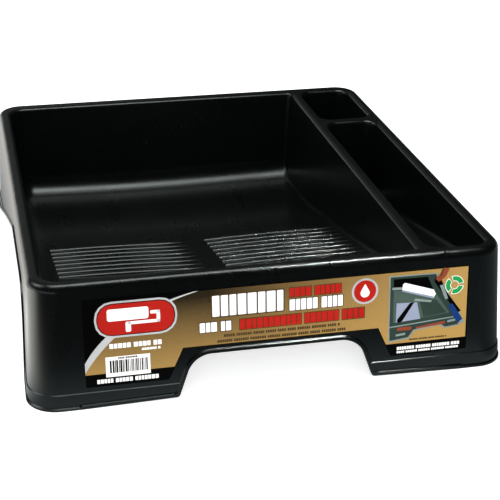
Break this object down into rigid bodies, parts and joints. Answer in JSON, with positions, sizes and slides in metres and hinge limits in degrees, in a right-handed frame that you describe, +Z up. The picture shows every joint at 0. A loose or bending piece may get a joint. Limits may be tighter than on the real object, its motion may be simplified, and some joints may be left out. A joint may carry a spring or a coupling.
{
  "type": "paint roller tray",
  "caption": "Deep floor-standing paint roller tray with a ribbed ramp, a long tool tray, a small cup and a printed front label.",
  "frame": {"origin": "on the floor under the middle of the rim", "axes": "+Z up; +Y along the tray towards the deep end; -Y towards the label; +X towards the tool tray"},
  "size_m": [0.4446, 0.512, 0.115],
  "materials": {
    "tray": "black moulded plastic, semi-gloss",
    "label": "printed adhesive film, gold and black, semi-gloss"
  },
  "bodies": {
    "root": {"tray": "tray", "front_label": "label"}
  },
  "joints": []
}
